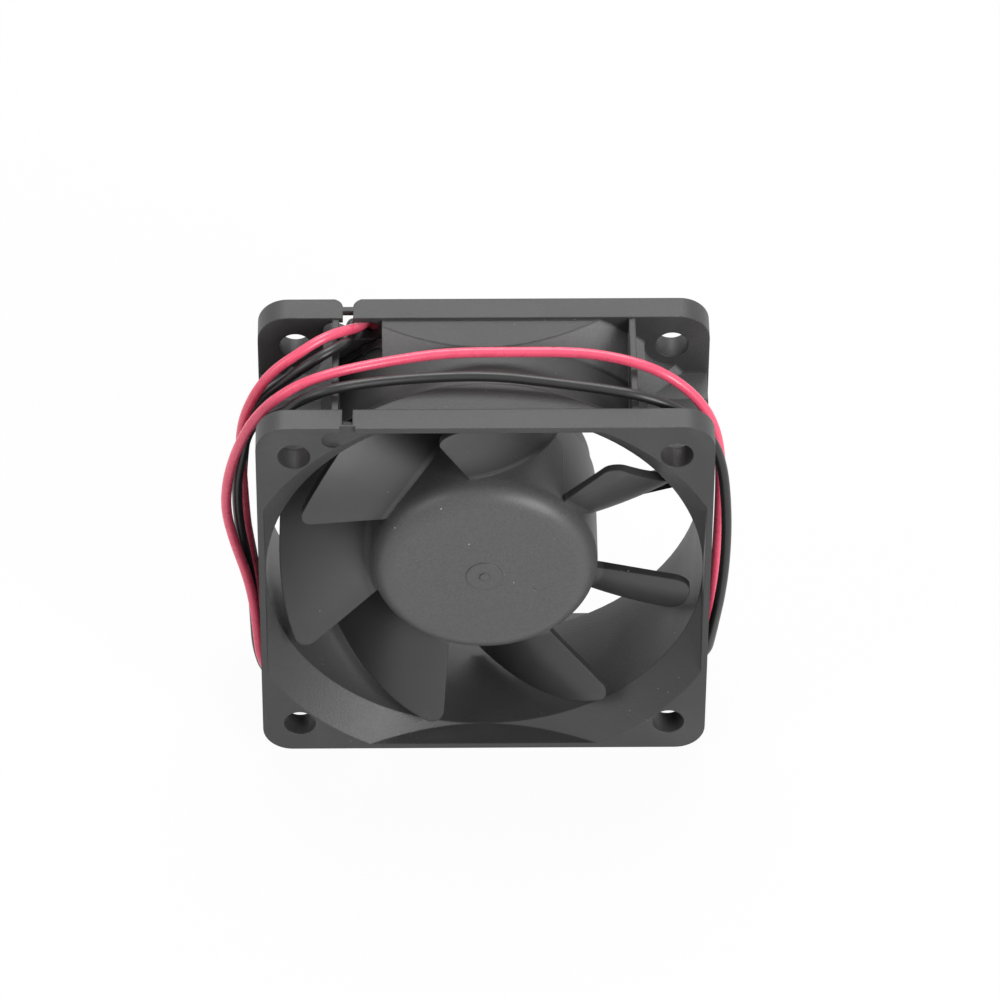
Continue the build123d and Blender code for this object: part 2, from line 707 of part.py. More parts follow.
def lead_tube(points, diameter=LEAD_DIAMETER):
    route, radii = lead_route(points)
    section = Plane(origin=route @ 0, z_dir=route % 0) * Circle(diameter / 2)
    return sweep(section, route), route, radii


RED_LEAD_POINTS = [
    (-16.2, 9.9, 57.75),
    (-16.8, 8.9, 58.1),
    (-18.9, 5.1, 61.0),
    (-21.5, 3.1, 61.5),
    (-24.7, 1.4, 60.3),
    (-27.5, 0.8, 58.3),
    (-29.6, 0.4, 55.6),
    (-31.2, 0.6, 51.8),
    (-32.2, 1.2, 47.5),
    (-32.45, 1.9, 42.5),
    (-32.3, 2.6, 36.0),
    (-32.15, 3.5, 29.5),
    (-31.8, 4.4, 23.2),
    (-31.3, 5.1, 17.4),
    (-31.1, 5.7, 13.0),
    (-30.6, 6.0, 9.2),
    (-29.2, 5.9, 5.8),
    (-28.0, 4.0, 3.2),
    (-27.5, 1.0, 2.2),
    (-27.8, -2.1, 3.2),
    (-28.9, -4.0, 5.8),
    (-30.4, -3.8, 9.1),
    (-31.2, -2.7, 12.7),
    (-31.9, -1.0, 16.5),
    (-32.7, 0.3, 20.9),
    (-33.9, 0.1, 27.4),
    (-34.6, -0.4, 33.4),
    (-34.3, -1.1, 39.3),
    (-33.3, -1.9, 44.6),
    (-32.1, -2.9, 49.0),
    (-30.5, -3.6, 53.2),
    (-28.0, -4.1, 57.0),
    (-24.4, -4.0, 60.0),
    (-19.6, -3.0, 61.3),
    (-13.5, -1.0, 61.1),
    (-5.5, 0.6, 61.3),
    (4.3, 0.9, 61.1),
    (13.0, 0.6, 61.3),
    (19.6, -1.1, 61.2),
    (24.2, -2.2, 59.6),
    (27.8, -2.6, 56.2),
    (30.1, -3.0, 52.2),
    (31.2, -3.4, 47.2),
    (31.4, -3.4, 40.5),
    (31.4, -3.1, 33.0),
    (31.3, -2.4, 25.4),
    (31.1, -1.6, 18.6),
    (30.9, -0.6, 13.0),
    (30.6, 0.4, 9.0),
    (29.0, 1.6, 6.2),
    (26.6, 2.8, 4.8),
]

BLACK_LEAD_POINTS = [
    (-17.75, 9.9, 57.03),
    (-18.03, 8.9, 57.02),
    (-18.15, 6.4, 57.95),
    (-18.35, 3.3, 60.55),
    (-21.0, 0.8, 61.0),
    (-24.1, -0.1, 59.1),
    (-26.8, 0.6, 56.0),
    (-29.3, 1.7, 52.8),
    (-30.9, 2.5, 49.8),
    (-31.5, 3.3, 45.8),
    (-32.1, 4.1, 40.5),
    (-32.5, 4.9, 34.5),
    (-32.4, 5.7, 28.5),
    (-31.9, 6.5, 22.5),
    (-31.3, 7.2, 16.8),
    (-31.1, 7.8, 12.6),
    (-30.8, 7.9, 9.0),
    (-30.2, 7.7, 5.7),
    (-29.7, 5.8, 3.1),
    (-29.4, 2.8, 2.2),
    (-29.5, -0.2, 3.1),
    (-30.1, -2.1, 5.7),
    (-30.9, -1.7, 9.2),
    (-31.1, -0.3, 12.6),
    (-31.3, 1.3, 16.2),
    (-32.0, 1.8, 22.5),
    (-32.8, 1.3, 28.4),
    (-33.1, 1.0, 34.0),
    (-32.9, 0.2, 39.4),
    (-32.1, -0.5, 44.2),
    (-31.4, -1.2, 48.6),
    (-29.5, -2.0, 52.4),
    (-26.4, -4.0, 55.4),
    (-23.9, -5.6, 58.8),
    (-20.3, -6.1, 61.1),
    (-15.0, -4.9, 61.2),
    (-7.8, -3.9, 61.1),
    (0.8, -3.8, 61.3),
    (9.0, -5.0, 61.1),
    (15.6, -6.5, 61.3),
    (20.2, -7.2, 60.8),
    (24.4, -6.8, 58.6),
    (27.8, -6.6, 55.3),
    (30.2, -6.6, 51.6),
    (31.4, -6.5, 47.0),
    (32.0, -6.5, 41.5),
    (32.3, -6.5, 35.0),
    (32.2, -6.2, 28.0),
    (31.8, -5.6, 22.0),
    (31.3, -4.7, 17.0),
    (30.9, -3.7, 12.6),
    (30.5, -2.7, 8.8),
    (28.7, -1.8, 5.9),
    (26.0, -1.1, 4.2),
]


# The part of each lead that lies in the channel, from the circuit board to the slot
RED_TAIL_POINTS = [
    (3.1, 10.3, 39.96),
    (1.7, 10.3, 41.36),
    (-0.44, 11.35, 43.63),
]
BLACK_TAIL_POINTS = [
    (1.6, 10.3, 39.34),
    (0.2, 10.3, 40.74),
    (-1.95, 11.35, 43.02),
]


def whole_tail(tail, lead):
    """Adds the bend at the slot, from which the tail meets the lead in line and face to face."""
    first, second = Vector(*lead[0]), Vector(*lead[1])
    share = (tail[-1][1] - first.Y) / (first.Y - second.Y)
    bend = first + (first - second) * share
    return tail + [(bend.X, bend.Y, bend.Z), lead[0]]


def bare_end(points, length):
    """Stripped and tinned end of a lead, in line with its last run."""
    last, before = Vector(*points[-1]), Vector(*points[-2])
    along = (last - before).normalized()
    plane = Plane(origin=last, z_dir=along)
    return extrude(plane * Circle(LEAD_BARE_DIAMETER / 2), length)


def pad_solder(points, core):
    """Bead of solder on the board that holds the inner end of a lead."""
    last, before = Vector(*points[-1]), Vector(*points[-2])
    seat = last + (last - before).normalized() * PAD_CORE_LENGTH
    board_rear = -level(BOARD_DEPTH + BOARD_THICKNESS)
    plane = Plane(origin=(seat.X, board_rear, seat.Z), z_dir=(0, 1, 0))
    bead = plane * Cone(
        PAD_SOLDER_RADIUS, PAD_SOLDER_RADIUS / 2, PAD_SOLDER_HEIGHT,
        align=(Align.CENTER, Align.CENTER, Align.MIN),
    )
    return bead - core


def write(name, shape):
    export_step(shape, f"parts/{name}.step")


def main():
    os.makedirs("parts", exist_ok=True)
    pieces = {
        "frame": make_frame(),
        "impeller": make_impeller(),
        "rotor_yoke": make_yoke(),
        "ring_magnet": ring(MAGNET_RADIUS, MAGNET_BORE, MAGNET_FRONT_DEPTH, MAGNET_REAR_DEPTH),
        "shaft": make_shaft(),
        "shaft_bushing": ring(
            BUSHING_RADIUS - PRESS_GAP, SHAFT_RADIUS + PRESS_GAP, HUB_CEILING_DEPTH, BUSHING_REAR_DEPTH
        ),
        "shaft_clip": make_clip(),
        "thrust_washer": ring(
            WASHER_RADIUS, SHAFT_RADIUS + RUNNING_CLEARANCE, CLIP_DEPTH - WASHER_THICKNESS, CLIP_DEPTH
        ),
        "preload_spring": make_spring(),
        "bearing_tube": make_bearing_tube(),
        "stator_core": make_core(),
        "upper_insulator": make_insulator(
            CORE_FRONT_DEPTH - INSULATOR_THICKNESS, CORE_FRONT_DEPTH,
            CORE_FRONT_DEPTH - INSULATOR_LIP, CORE_FRONT_DEPTH,
        ),
        "lower_insulator": make_insulator(
            CORE_REAR_DEPTH, CORE_REAR_DEPTH + INSULATOR_THICKNESS,
            CORE_REAR_DEPTH, CORE_REAR_DEPTH + INSULATOR_LIP,
        ),
        "circuit_board": make_board(),
        "hall_sensor": board_component(SENSOR_SIZE, SENSOR_ANGLE, MAGNET_BORE),
        "driver_chip": board_component(DRIVER_SIZE, DRIVER_ANGLE),
        "filter_capacitor": board_component(CAPACITOR_SIZE, CAPACITOR_ANGLE),
        "board_resistors": Compound([board_component(RESISTOR_SIZE, a) for a in RESISTOR_ANGLES]),
        "coil_pins": make_pins(),
        "solder_joints": make_solder(),
        "bearing_cap": ring(CAP_RADIUS - PRESS_GAP, 0, BASE_FLOOR_DEPTH, BASE_REAR_DEPTH),
    }
    for index in range(POLE_COUNT):
        pieces[f"coil_{index + 1}"] = make_coil(index)
    for name, front in (("front", FRONT_BEARING_DEPTH), ("rear", REAR_BEARING_DEPTH)):
        outer, inner = bearing_rings(front)
        pieces[f"{name}_bearing_outer_ring"] = outer
        pieces[f"{name}_bearing_inner_ring"] = inner
        pieces[f"{name}_bearing_balls"] = bearing_balls(front)
        pieces[f"{name}_bearing_shields"] = bearing_shields(front)
    for name, shape in pieces.items():
        write(name, stand_up(shape))
    cores, pads = [], []
    for name, points, tail in (
        ("red_lead", RED_LEAD_POINTS, RED_TAIL_POINTS),
        ("black_lead", BLACK_LEAD_POINTS, BLACK_TAIL_POINTS),
    ):
        tail = whole_tail(tail, points)
        tube, route, radii = lead_tube(points)
        write(name, tube)
        write(f"{name}_end", bare_end(points, LEAD_BARE_LENGTH))
        write(f"{name}_tail", lead_tube(tail)[0])
        inward = list(reversed(tail))
        core = bare_end(inward, PAD_CORE_LENGTH)
        cores.append(core)
        pads.append(pad_solder(inward, core))
        expected = pi * (LEAD_DIAMETER / 2) ** 2 * route.length
        print(name, "length", round(route.length, 1), "least radius", round(min(radii), 2))
        print("  radii", [round(radius, 1) for radius in radii])
        print("  volume", round(tube.volume, 2), "section times length", round(expected, 2))
    write("lead_cores", Compound(cores))
    write("lead_pads", Compound(pads))


main()
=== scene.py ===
"""Small square axial fan with seven dark moulded blades and two flying leads, set on a pale table."""
import math

import bmesh
import bpy
import numpy as np
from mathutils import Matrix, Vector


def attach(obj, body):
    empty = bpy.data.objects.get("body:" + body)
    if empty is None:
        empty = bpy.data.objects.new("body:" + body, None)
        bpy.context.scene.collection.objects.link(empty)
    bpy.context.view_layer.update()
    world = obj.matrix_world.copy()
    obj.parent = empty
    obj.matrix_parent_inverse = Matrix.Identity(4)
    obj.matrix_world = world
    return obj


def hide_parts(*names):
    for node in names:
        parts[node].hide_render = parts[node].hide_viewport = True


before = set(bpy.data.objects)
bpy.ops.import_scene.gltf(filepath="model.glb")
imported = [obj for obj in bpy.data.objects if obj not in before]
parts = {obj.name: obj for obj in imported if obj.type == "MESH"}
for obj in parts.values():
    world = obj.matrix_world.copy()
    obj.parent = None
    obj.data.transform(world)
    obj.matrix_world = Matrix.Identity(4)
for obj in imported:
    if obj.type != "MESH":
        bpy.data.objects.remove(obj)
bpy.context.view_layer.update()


# Housing: one black moulding of glass-filled plastic. The mould's spark-eroded walls leave a fine grain
# on it, and a little dust stays on it. The cone behind the barrel is painted paler: painted light from
# the front and above.
class Signal:
    """A value inside a material. Arithmetic on it adds the Math nodes that work it out."""

    def __init__(self, tree, socket=None):
        self.tree = tree
        self.socket = socket

    def make(self, kind, settings=None, output=0, **links):
        """Adds one node: its settings first, then a value or a link for each socket.

        A socket goes by its name, with _ for a space, or by its number, as in n6."""
        node = self.tree.nodes.new("ShaderNode" + kind)
        for name, value in (settings or {}).items():
            setattr(node, name, value)
        for name, value in links.items():
            key = int(name[1:]) if name[0] == "n" and name[1:].isdigit() else name.replace("_", " ")
            socket = node.inputs[key]
            if isinstance(value, Signal):
                self.tree.links.new(value.socket, socket)
            elif hasattr(value, "__len__") and len(value) == 3 and socket.type == "RGBA":
                socket.default_value = (*value, 1)
            else:
                socket.default_value = value
        return Signal(self.tree, node.outputs[output] if len(node.outputs) else None)

    def maths(self, operation, *values):
        """One Math node on the values."""
        sockets = {f"n{index}": value for index, value in enumerate(values)}
        return self.make("Math", {"operation": operation}, **sockets)

    def __add__(self, other):
        return self.maths("ADD", self, other)

    def __radd__(self, other):
        return self.maths("ADD", other, self)

    def __sub__(self, other):
        return self.maths("SUBTRACT", self, other)

    def __rsub__(self, other):
        return self.maths("SUBTRACT", other, self)

    def __mul__(self, other):
        return self.maths("MULTIPLY", self, other)

    def __rmul__(self, other):
        return self.maths("MULTIPLY", other, self)

    def __gt__(self, other):
        return self.maths("GREATER_THAN", self, other)

    def __lt__(self, other):
        return self.maths("LESS_THAN", self, other)

    def sine(self):
        return self.maths("SINE", self)

    def root(self):
        return self.maths("SQRT", self)

    def ramp(self, low, high):
        """0 below low, 1 above high, and a smooth rise between them; high may be the lower one."""
        settings = {"interpolation_type": "SMOOTHSTEP"}
        return self.make("MapRange", settings, Value=self, From_Min=low, From_Max=high)

    def mix(self, first, second):
        """Colour that goes from first to second as this value goes from 0 to 1."""
        return self.make("Mix", {"data_type": "RGBA"}, output=2, n0=self, n6=first, n7=second)


def new_material(name):
    """An empty material and a Signal that starts its node tree."""
    material = bpy.data.materials.new(name)
    material.use_nodes = True
    material.node_tree.nodes.clear()
    return material, Signal(material.node_tree)


def close_material(start, shader):
    """Makes the shader the material's surface."""
    start.make("OutputMaterial", Surface=shader)


def specks(start, place, cell, size, share):
    """Round flecks of radius size, one on each of a share of the points of an uneven lattice."""
    distance, colour = (
        start.make("TexVoronoi", {"feature": "F1"}, output=index, Vector=place, Scale=1 / cell)
        for index in (0, 1)
    )
    lottery = start.make("SeparateColor", Color=colour)
    return (distance < size / cell) * (lottery < share)


GRAIN_SCALE, CLOUD_SCALE, STREAK_SCALE = 3200.0, 95.0, 900.0
STREAK_STRETCH = (1.0, 0.12, 1.0)

# Flecks of dust: the distance between their possible places, their radius and the share that is there.
LARGE_FLECKS, SMALL_FLECKS = (0.0031, 0.00011, 0.35), (0.0013, 0.00005, 0.25)
PLASTIC_EDGE_RADIUS = 0.00028
DUST_COLOUR = (0.5, 0.49, 0.47)
PLASTIC_IOR = 1.45


def moulded_plastic(name, colour, roughness, grain_depth, dust, marks=None, painted_light_area=None, painted_light_gain=1.0):
    """Moulded plastic or rubber: fine erosion grain, cloudy flow marks, rubbed edges, a little dust.

    The marks are a function that gives the height in metres of the marks that the mould leaves.
    The other function gives where the plastic is painted paler by the last factor: painted light where
    the lamps light it more, with the grain in its tone."""
    material, start = new_material(name)
    place = start.make("TexCoord", output=3)
    grain = start.make("TexNoise", Vector=place, Scale=GRAIN_SCALE, Detail=2.0, Roughness=0.6)
    cloud = start.make("TexNoise", Vector=place, Scale=CLOUD_SCALE, Detail=4.0, Roughness=0.55)
    streak_place = start.make("Mapping", Vector=place, Scale=STREAK_STRETCH)
    streak = start.make("TexNoise", Vector=streak_place, Scale=STREAK_SCALE, Detail=2.0)
    soft_edge = start.make("Bevel", {"samples": 4}, Radius=PLASTIC_EDGE_RADIUS)
    pointed = start.make("NewGeometry", output=7)
    rubbed = pointed.ramp(0.54, 0.66) * cloud.ramp(0.4, 0.62)
    fleck = specks(start, place, *LARGE_FLECKS) + specks(start, place, *SMALL_FLECKS)
    shade = cloud.mix([c * 0.86 for c in colour], [c * 1.14 for c in colour])
    # Painted light: the colour is made paler where the lamps light the part more, with the grain
    # showing in that tone.
    if painted_light_area:
        pale = grain.mix([c * painted_light_gain * 0.7 for c in colour], [c * painted_light_gain * 1.3 for c in colour])
        shade = painted_light_area(start, place).mix(shade, pale)
    shade = (rubbed * 0.35).mix(shade, [c * 1.9 for c in colour])
    shade = (fleck * dust).mix(shade, DUST_COLOUR)
    bump = start.make(
        "Bump", Height=grain + streak * 0.25, Strength=0.75, Distance=grain_depth, Normal=soft_edge
    )
    if marks:
        bump = start.make("Bump", Height=marks(start, place), Distance=1.0, Normal=bump)
    surface = start.make(
        "BsdfPrincipled",
        Base_Color=shade,
        Roughness=(cloud - 0.5) * 0.16 + (grain - 0.5) * 0.1 + roughness + fleck * 0.2,
        IOR=PLASTIC_IOR,
        Normal=bump,
    )
    close_material(start, surface)
    return material


def finish(material, *names):
    """Puts a material on the nodes of these names."""
    for name in names:
        mesh = parts[name].data
        if not mesh.materials:
            mesh.materials.append(material)
        for slot in parts[name].material_slots:
            slot.material = material


BORE_RADIUS, OPENED_RADIUS = 0.0281, 0.02915
FRONT_EDGE_DEPTH, OPENED_FRONT_DEPTH = 0.0049, 0.00385
REAR_EDGE_DEPTH, OPENED_REAR_DEPTH = 0.0201, 0.0180
FRONT_FACE, FAN_CENTRE_HEIGHT = -0.0125, 0.03
SAME_PLACE, ON_EDGE = 0.000001, 0.00002
SHARP_ANGLE = math.radians(28)


def opened_housing(node, material):
    """Copy of the housing with its duct as wide as the photograph shows.

    A vertex on one of the bore's two edges, so at the bore's radius from the fan's axis and at
    the inner end of a flare, moves out to the wider radius and along the axis to the new depth,
    and the flares reach to it. Edges over 28 degrees stay sharp, and elsewhere the normals are
    smooth and weighted by the area of the faces, so that flat faces look flat."""
    mesh = node.data.copy()
    mesh.name = "housing_moulding"
    work = bmesh.new()
    work.from_mesh(mesh)
    bmesh.ops.remove_doubles(work, verts=work.verts, dist=SAME_PLACE)
    work.to_mesh(mesh)
    work.free()
    points = np.empty(len(mesh.vertices) * 3)
    mesh.vertices.foreach_get("co", points)
    points = points.reshape(-1, 3)
    upright = points[:, 2] - FAN_CENTRE_HEIGHT
    radius = np.hypot(points[:, 0], upright)
    on_bore = np.abs(radius - BORE_RADIUS) < ON_EDGE
    for edge, opened in (
        (FRONT_EDGE_DEPTH, OPENED_FRONT_DEPTH),
        (REAR_EDGE_DEPTH, OPENED_REAR_DEPTH),
    ):
        moved = on_bore & (np.abs(points[:, 1] - FRONT_FACE - edge) < ON_EDGE)
        wider = OPENED_RADIUS / radius[moved]
        points[moved, 0] *= wider
        points[moved, 2] = FAN_CENTRE_HEIGHT + upright[moved] * wider
        points[moved, 1] = FRONT_FACE + opened
    mesh.vertices.foreach_set("co", points.ravel())
    if mesh.has_custom_normals:
        mesh.attributes.remove(mesh.attributes["custom_normal"])
    mesh.update()
    mesh.shade_smooth()
    mesh.set_sharp_from_angle(angle=SHARP_ANGLE)
    mesh.materials.clear()
    mesh.materials.append(material)
    housing = bpy.data.objects.new("housing_moulding", mesh)
    bpy.context.scene.collection.objects.link(housing)
    weighted = housing.modifiers.new("flat faces", "WEIGHTED_NORMAL")
    weighted.keep_sharp = True
    return housing


def from_centre(start, place):
    """How far a place is from the middle of the fan: to the right, backwards and upwards."""
    right, back, up = (start.make("SeparateXYZ", output=axis, Vector=place) for axis in range(3))
    return right, back, up - FAN_CENTRE_HEIGHT


def diagonal(first, second):
    """Length of the diagonal of two distances at a right angle."""
    return (first * first + second * second).root()


# The cone's outside, as the two ends of each soft edge: outwards, backwards and up to the top flat.
CONE_RADIUS = (0.0296, 0.0299)
CONE_START, CONE_END = (0.0034, 0.0037), (0.00875, 0.0085)
TOP_FLAT = (0.02955, 0.0294)


def lit_rear_cone(start, place):
    """1 on the outside of the cone between the barrel and the rear flange, which is painted paler as
    painted light, and 0 on its top flat.
    """
    right, back, up = from_centre(start, place)
    outside = diagonal(right, up).ramp(*CONE_RADIUS)
    return outside * back.ramp(*CONE_START) * back.ramp(*CONE_END) * up.ramp(*TOP_FLAT)


housing_plastic = moulded_plastic(
    "housing_plastic", (0.042, 0.042, 0.0425), 0.46, 0.00005, 0.8, painted_light_area=lit_rear_cone, painted_light_gain=3.0
)
housing_moulding = opened_housing(parts["frame"], housing_plastic)
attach(housing_moulding, "housing")
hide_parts("frame")


# Bearing cap: a soft black plug, moulded in one piece. It is pressed into the hole in the motor
# base behind the shaft's end, and keeps dust away from the rear bearing.
finish(moulded_plastic("cap_rubber", (0.022, 0.022, 0.022), 0.7, 0.00002, 0.5), "bearing_cap")


# Impeller: hub and seven blades moulded in one piece, in the same plastic. The hub is painted paler
# than the blades, as painted light where the lamps light it more. A round gate mark stays at the middle
# of the hub's face.
PARTING_ANGLE = math.radians(46.0)
PARTING_RIDGE = 0.00003
MARK_RIGHT, MARK_UP, MARK_RADIUS = 0.0073, -0.0019, 0.0009
MARK_GROOVE = -0.00008
HUB_EDGE = (0.0163, 0.0157)


def hub_marks(start, place):
    """Parting line up the hub's side at 46 degrees, and a short curved ejector mark on its face."""
    right, back, up = from_centre(start, place)
    beside = up * math.cos(PARTING_ANGLE) - right * math.sin(PARTING_ANGLE)
    right_half = right.ramp(0.0, 0.001)
    on_side = back.ramp(-0.0090, -0.0084)
    line = (beside * beside).root().ramp(0.00012, 0.00002) * right_half * on_side
    off_arc = diagonal(right - MARK_RIGHT, up - MARK_UP) - MARK_RADIUS
    arc = (off_arc * off_arc).root().ramp(0.00016, 0.00004)
    lower_half = (up - MARK_UP).ramp(0.0, -0.0003)
    on_face = back.ramp(-0.0092, -0.0094)
    return line * PARTING_RIDGE + arc * lower_half * on_face * MARK_GROOVE


def lit_hub(start, place):
    """1 on the hub, which is painted paler as painted light where the lamps light it more, and 0 on the
    blades.
    """
    right, _, up = from_centre(start, place)
    return diagonal(right, up).ramp(*HUB_EDGE)


impeller_plastic = moulded_plastic(
    "impeller_plastic", (0.043, 0.043, 0.0435), 0.42, 0.000012, 0.7, hub_marks, lit_hub, 1.9
)
finish(impeller_plastic, "impeller")


# Rotor steel and magnet: a pressed, zinc-plated cup sits in the hub and holds the ring of bonded
# ferrite. The shaft is ground steel, fixed in the hub by a turned brass bushing.
TURNED = (0.1, 1.0, 0.1)
METAL_LINE_SCALE, METAL_CLOUD_SCALE = 2400.0, 160.0
METAL_EDGE_RADIUS = 0.00012


def metal(name, colour, roughness, lines, stretch=(1.0, 1.0, 1.0)):
    """Bare metal with fine scratches, drawn out the ways in which the stretch is small.

    Stretched as TURNED, they are turning or grinding lines round the fan's axis."""
    material, start = new_material(name)
    place = start.make("TexCoord", output=3)
    stretched = start.make("Mapping", Vector=place, Scale=stretch)
    line = start.make("TexNoise", Vector=stretched, Scale=METAL_LINE_SCALE, Detail=3.0, Roughness=0.7)
    cloud = start.make("TexNoise", Vector=place, Scale=METAL_CLOUD_SCALE, Detail=3.0)
    soft_edge = start.make("Bevel", {"samples": 4}, Radius=METAL_EDGE_RADIUS)
    bump = start.make("Bump", Height=line, Strength=lines, Distance=0.00001, Normal=soft_edge)
    surface = start.make(
        "BsdfPrincipled",
        Base_Color=cloud.mix([c * 0.85 for c in colour], colour),
        Metallic=1.0,
        Roughness=(line - 0.5) * 0.2 + (cloud - 0.5) * 0.15 + roughness,
        Normal=bump,
    )
    close_material(start, surface)
    return material


finish(metal("yoke_steel", (0.55, 0.55, 0.56), 0.34, 0.4, TURNED), "rotor_yoke")
finish(moulded_plastic("bonded_ferrite", (0.06, 0.056, 0.055), 0.62, 0.00004, 0.1), "ring_magnet")
finish(metal("ground_steel", (0.62, 0.62, 0.63), 0.16, 0.3, TURNED), "shaft")
finish(metal("turned_brass", (0.72, 0.54, 0.27), 0.26, 0.5, TURNED), "shaft_bushing", "bearing_tube")
finish(metal("spring_steel", (0.42, 0.41, 0.40), 0.3, 0.3), "preload_spring", "shaft_clip")
finish(moulded_plastic("washer_nylon", (0.75, 0.74, 0.69), 0.45, 0.00001, 0.1), "thrust_washer")


# Ball bearings: ground steel rings and balls with pressed shields on both sides. One bearing sits
# near each end of the brass tube, and the shaft turns in both.
finish(
    metal("bearing_steel", (0.66, 0.66, 0.67), 0.12, 0.2, TURNED),
    "front_bearing_outer_ring", "front_bearing_inner_ring", "front_bearing_balls",
    "rear_bearing_outer_ring", "rear_bearing_inner_ring", "rear_bearing_balls",
)
finish(
    metal("shield_steel", (0.5, 0.5, 0.5), 0.36, 0.4, TURNED),
    "front_bearing_shields", "rear_bearing_shields",
)


# Stator: a stack of punched steel sheets between two pale nylon insulators, with a winding of
# enamelled copper round each of the four poles.
SHEET_THICKNESS, COPPER_WIRE_PITCH = 0.0005, 0.00022


def laminations(name):
    """Punched sheets: a groove every half millimetre along the fan's axis."""
    material, start = new_material(name)
    place = start.make("TexCoord", output=3)
    along = start.make("SeparateXYZ", output=1, Vector=place)
    sheet = (along * (2 * math.pi / SHEET_THICKNESS)).sine()
    cloud = start.make("TexNoise", Vector=place, Scale=300.0, Detail=4.0)
    bump = start.make("Bump", Height=sheet.ramp(-0.6, 0.4), Strength=0.6, Distance=0.00004)
    surface = start.make(
        "BsdfPrincipled",
        Base_Color=cloud.mix((0.16, 0.16, 0.17), (0.30, 0.30, 0.31)),
        Metallic=0.8,
        Roughness=cloud * 0.2 + 0.4,
        Normal=bump,
    )
    close_material(start, surface)
    return material


def enamelled_windings(name):
    """Turns of thin copper wire: one ridge after another outwards from the fan's axis, under enamel."""
    material, start = new_material(name)
    place = start.make("TexCoord", output=3)
    right, _, up = from_centre(start, place)
    ridge = (diagonal(right, up) * (2 * math.pi / COPPER_WIRE_PITCH)).sine()
    cloud = start.make("TexNoise", Vector=place, Scale=700.0, Detail=3.0)
    bump = start.make("Bump", Height=ridge * 0.5 + cloud * 0.6, Strength=0.7, Distance=0.00005)
    surface = start.make(
        "BsdfPrincipled",
        Base_Color=cloud.mix((0.42, 0.15, 0.05), (0.78, 0.36, 0.16)),
        Metallic=0.85,
        Roughness=cloud * 0.2 + 0.22,
        Coat_Weight=0.6,
        Normal=bump,
    )
    close_material(start, surface)
    return material


finish(laminations("punched_sheets"), "stator_core")
finish(
    moulded_plastic("insulator_nylon", (0.72, 0.71, 0.66), 0.42, 0.00001, 0.1),
    "upper_insulator", "lower_insulator",
)
finish(enamelled_windings("copper_windings"), "coil_1", "coil_2", "coil_3", "coil_4")


# Circuit board: a round board under the stator with its position sensor, driver, capacitor and
# resistors, soldered to the winding pins and to the inner ends of the leads.
def board_laminate(name):
    """Green solder resist over copper tracks that show as slightly raised, lighter bands."""
    material, start = new_material(name)
    place = start.make("TexCoord", output=3)
    track = start.make(
        "TexVoronoi", {"feature": "DISTANCE_TO_EDGE"}, Vector=place, Scale=260.0, Randomness=0.7
    )
    band = track.ramp(0.10, 0.06)
    cloud = start.make("TexNoise", Vector=place, Scale=500.0, Detail=3.0)
    bump = start.make("Bump", Height=band + cloud * 0.1, Strength=0.5, Distance=0.00004)
    surface = start.make(
        "BsdfPrincipled",
        Base_Color=band.mix((0.012, 0.10, 0.035), (0.03, 0.19, 0.07)),
        Roughness=cloud * 0.15 + 0.22,
        Normal=bump,
    )
    close_material(start, surface)
    return material


finish(board_laminate("solder_resist"), "circuit_board")
finish(
    moulded_plastic("chip_epoxy", (0.02, 0.02, 0.02), 0.5, 0.00001, 0.1),
    "driver_chip", "hall_sensor", "board_resistors",
)
finish(moulded_plastic("capacitor_ceramic", (0.42, 0.28, 0.15), 0.4, 0.00001, 0.1), "filter_capacitor")
finish(metal("solder", (0.66, 0.66, 0.66), 0.22, 0.2), "solder_joints", "lead_pads")
finish(metal("tinned_copper", (0.72, 0.71, 0.69), 0.28, 0.3), "coil_pins", "lead_cores")


# Leads: two limp insulated wires of 1.4 mm that come out of the slot, hang down the left side,
# turn at the lower corner, climb again, cross the top and end stripped at the lower right.
WIRE_FLECKS = (0.0023, 0.00006, 0.3)
WIRE_DUST_COLOUR = (0.6, 0.58, 0.56)


def insulation(name, colour, roughness):
    """Smooth soft insulation: slightly uneven in colour and gloss, with a little dust."""
    material, start = new_material(name)
    place = start.make("TexCoord", output=3)
    mottle = start.make("TexNoise", Vector=place, Scale=420.0, Detail=4.0, Roughness=0.6)
    fine = start.make("TexNoise", Vector=place, Scale=2600.0, Detail=2.0)
    fleck = specks(start, place, *WIRE_FLECKS)
    bump = start.make("Bump", Height=mottle + fine * 0.4, Strength=0.35, Distance=0.00003)
    shade = mottle.mix([c * 0.82 for c in colour], [min(1.0, c * 1.12) for c in colour])
    surface = start.make(
        "BsdfPrincipled",
        Base_Color=(fleck * 0.6).mix(shade, WIRE_DUST_COLOUR),
        Roughness=(mottle - 0.5) * 0.2 + roughness,
        Normal=bump,
    )
    close_material(start, surface)
    return material


LEAD_DIAMETER = 0.0014

